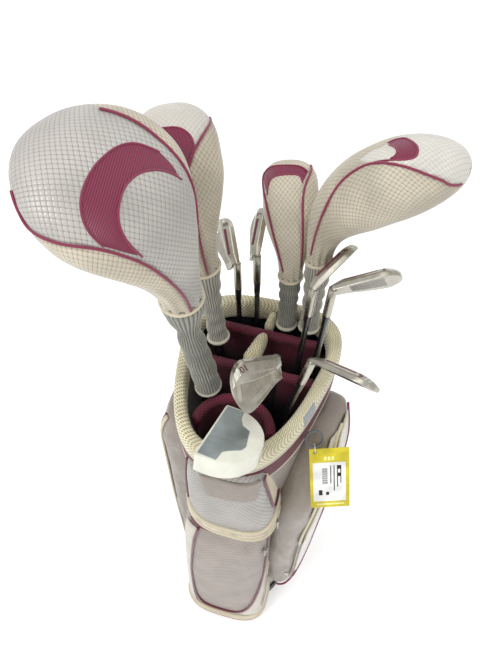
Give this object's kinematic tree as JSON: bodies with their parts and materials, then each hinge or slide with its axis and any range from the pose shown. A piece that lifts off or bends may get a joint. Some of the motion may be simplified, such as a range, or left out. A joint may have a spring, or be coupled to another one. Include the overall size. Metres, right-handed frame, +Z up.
{
  "type": "golf club set in a cart bag",
  "caption": "Cart bag with a padded oval rim, mesh dividers and four pockets, holding irons, a wedge, a mallet putter and woods under padded headcovers",
  "frame": {"origin": "centre of the base's underside, on the floor", "axes": "+Z up, -Y toward the front of the bag, where the front pockets are, +X to the right seen from the front"},
  "size_m": [0.4665, 0.4292, 1.2458],
  "materials": {
    "bag_wall": "satin woven polyester",
    "base_tray": "moulded, lightly textured",
    "rim_cuff": "woven mesh over soft padding",
    "rim_frame": "moulded",
    "divider_rear": "open spacer mesh over a padded bar",
    "divider_front": "open spacer mesh over a padded bar",
    "divider_arch": "open spacer mesh over a padded bar",
    "centre_pad_back": "ribbed padded fabric",
    "centre_pad_front": "ribbed padded fabric",
    "lower_front_pocket": "embossed satin fabric with piping",
    "upper_front_pocket": "embossed satin fabric",
    "left_side_pocket": "satin fabric",
    "right_side_pocket": "satin fabric with piping",
    "towel_ring": "moulded",
    "grip": "matt moulded rubber",
    "shaft": "lacquered carbon fibre and black ferrule",
    "wood_head": "gloss black crown",
    "iron_head": "satin chrome",
    "wedge_head": "satin chrome",
    "putter_head": "white enamel with a brushed inlay",
    "cover_shell": "embossed padded fabric with piping",
    "cover_sock": "ribbed knit",
    "hang_tag": "printed card",
    "tag_tie": "nylon loop",
    "zip_pull": "die-cast zinc"
  },
  "bodies": {
    "bag": {"bag_wall": "bag_wall", "base_tray": "base_tray", "rim_cuff": "rim_cuff", "rim_frame": "rim_frame", "divider_rear": "divider_rear", "divider_front": "divider_front", "divider_arch": "divider_arch", "centre_pad_back": "centre_pad_back", "centre_pad_front": "centre_pad_front", "lower_front_pocket": "lower_front_pocket", "upper_front_pocket": "upper_front_pocket", "left_side_pocket": "left_side_pocket", "right_side_pocket": "right_side_pocket", "towel_ring": "towel_ring"},
    "driver": {"driver_grip": "grip", "driver_shaft": "shaft", "driver_head": "wood_head"},
    "wood3": {"wood3_grip": "grip", "wood3_shaft": "shaft", "wood3_head": "wood_head"},
    "hybrid": {"hybrid_grip": "grip", "hybrid_shaft": "shaft", "hybrid_head": "wood_head"},
    "wood5": {"wood5_grip": "grip", "wood5_shaft": "shaft", "wood5_head": "wood_head"},
    "iron5": {"iron5_grip": "grip", "iron5_shaft": "shaft", "iron5_head": "iron_head"},
    "iron6": {"iron6_grip": "grip", "iron6_shaft": "shaft", "iron6_head": "iron_head"},
    "iron7": {"iron7_grip": "grip", "iron7_shaft": "shaft", "iron7_head": "iron_head"},
    "iron8": {"iron8_grip": "grip", "iron8_shaft": "shaft", "iron8_head": "iron_head"},
    "iron9": {"iron9_grip": "grip", "iron9_shaft": "shaft", "iron9_head": "iron_head"},
    "wedge": {"wedge_grip": "grip", "wedge_shaft": "shaft", "wedge_head": "wedge_head"},
    "putter": {"putter_grip": "grip", "putter_shaft": "shaft", "putter_head": "putter_head"},
    "driver_cover": {"driver_cover_shell": "cover_shell", "driver_cover_sock": "cover_sock"},
    "wood3_cover": {"wood3_cover_shell": "cover_shell", "wood3_cover_sock": "cover_sock"},
    "hybrid_cover": {"hybrid_cover_shell": "cover_shell", "hybrid_cover_sock": "cover_sock"},
    "wood5_cover": {"wood5_cover_shell": "cover_shell", "wood5_cover_sock": "cover_sock"},
    "tag": {"hang_tag": "hang_tag", "tag_tie": "tag_tie"},
    "upper_zip_pull": {"upper_zip_pull": "zip_pull"},
    "lower_zip_pull": {"lower_zip_pull": "zip_pull"},
    "side_zip_pull": {"side_zip_pull": "zip_pull"}
  },
  "joints": [
    {"name": "driver_lift", "type": "slide", "parent": "bag", "child": "driver", "axis": [-0.0735, -0.0984, 0.9924], "range_m": [0, 0.9]},
    {"name": "wood3_lift", "type": "slide", "parent": "bag", "child": "wood3", "axis": [-0.089, -0.0185, 0.9959], "range_m": [0, 0.95]},
    {"name": "hybrid_lift", "type": "slide", "parent": "bag", "child": "hybrid", "axis": [-0.0074, 0.0614, 0.9981], "range_m": [0, 0.95]},
    {"name": "wood5_lift", "type": "slide", "parent": "bag", "child": "wood5", "axis": [0.0148, 0.0209, 0.9997], "range_m": [0, 0.95]},
    {"name": "iron5_lift", "type": "slide", "parent": "bag", "child": "iron5", "axis": [0.0491, 0, 0.9988], "range_m": [0, 0.95]},
    {"name": "iron6_lift", "type": "slide", "parent": "bag", "child": "iron6", "axis": [0.0496, 0.005, 0.9988], "range_m": [0, 0.95]},
    {"name": "iron7_lift", "type": "slide", "parent": "bag", "child": "iron7", "axis": [-0.0185, 0.0209, 0.9996], "range_m": [0, 0.95]},
    {"name": "iron8_lift", "type": "slide", "parent": "bag", "child": "iron8", "axis": [-0.0246, 0.0246, 0.9994], "range_m": [0, 0.95]},
    {"name": "iron9_lift", "type": "slide", "parent": "bag", "child": "iron9", "axis": [0.1886, -0.016, 0.9819], "range_m": [0, 0.9]},
    {"name": "wedge_lift", "type": "slide", "parent": "bag", "child": "wedge", "axis": [0.02, -0.0463, 0.9987], "range_m": [0, 0.95]},
    {"name": "putter_lift", "type": "slide", "parent": "bag", "child": "putter", "axis": [-0.0013, -0.0619, 0.9981], "range_m": [0, 0.95]},
    {"name": "driver_cover_pull", "type": "slide", "parent": "driver", "child": "driver_cover", "axis": [-0.0735, -0.0984, 0.9924], "range_m": [0, 0.38], "deforming": ["driver_cover_shell", "driver_cover_sock"]},
    {"name": "wood3_cover_pull", "type": "slide", "parent": "wood3", "child": "wood3_cover", "axis": [-0.089, -0.0185, 0.9959], "range_m": [0, 0.38], "deforming": ["wood3_cover_shell", "wood3_cover_sock"]},
    {"name": "hybrid_cover_pull", "type": "slide", "parent": "hybrid", "child": "hybrid_cover", "axis": [-0.0074, 0.0614, 0.9981], "range_m": [0, 0.38], "deforming": ["hybrid_cover_shell", "hybrid_cover_sock"]},
    {"name": "wood5_cover_pull", "type": "slide", "parent": "wood5", "child": "wood5_cover", "axis": [0.0148, 0.0209, 0.9997], "range_m": [0, 0.38], "deforming": ["wood5_cover_shell", "wood5_cover_sock"]},
    {"name": "tag_swing", "type": "hinge", "parent": "bag", "child": "tag", "pos_m": [0.12582, -0.06466, 0.74785], "axis": [-0.9552, -0.2907, -0.0561], "range_deg": [0, 60]},
    {"name": "upper_zip_pull_hinge", "type": "hinge", "parent": "bag", "child": "upper_zip_pull", "pos_m": [0.0892, -0.141, 0.606], "axis": [0, -1, 0], "range_deg": [0, 80]},
    {"name": "lower_zip_pull_hinge", "type": "hinge", "parent": "bag", "child": "lower_zip_pull", "pos_m": [0.0738, -0.1528, 0.48], "axis": [-0.3256, -0.9455, 0], "range_deg": [0, 80]},
    {"name": "side_zip_pull_hinge", "type": "hinge", "parent": "bag", "child": "side_zip_pull", "pos_m": [0.1205, -0.1366, 0.322], "axis": [-0.9744, -0.225, 0], "range_deg": [0, 80]}
  ]
}
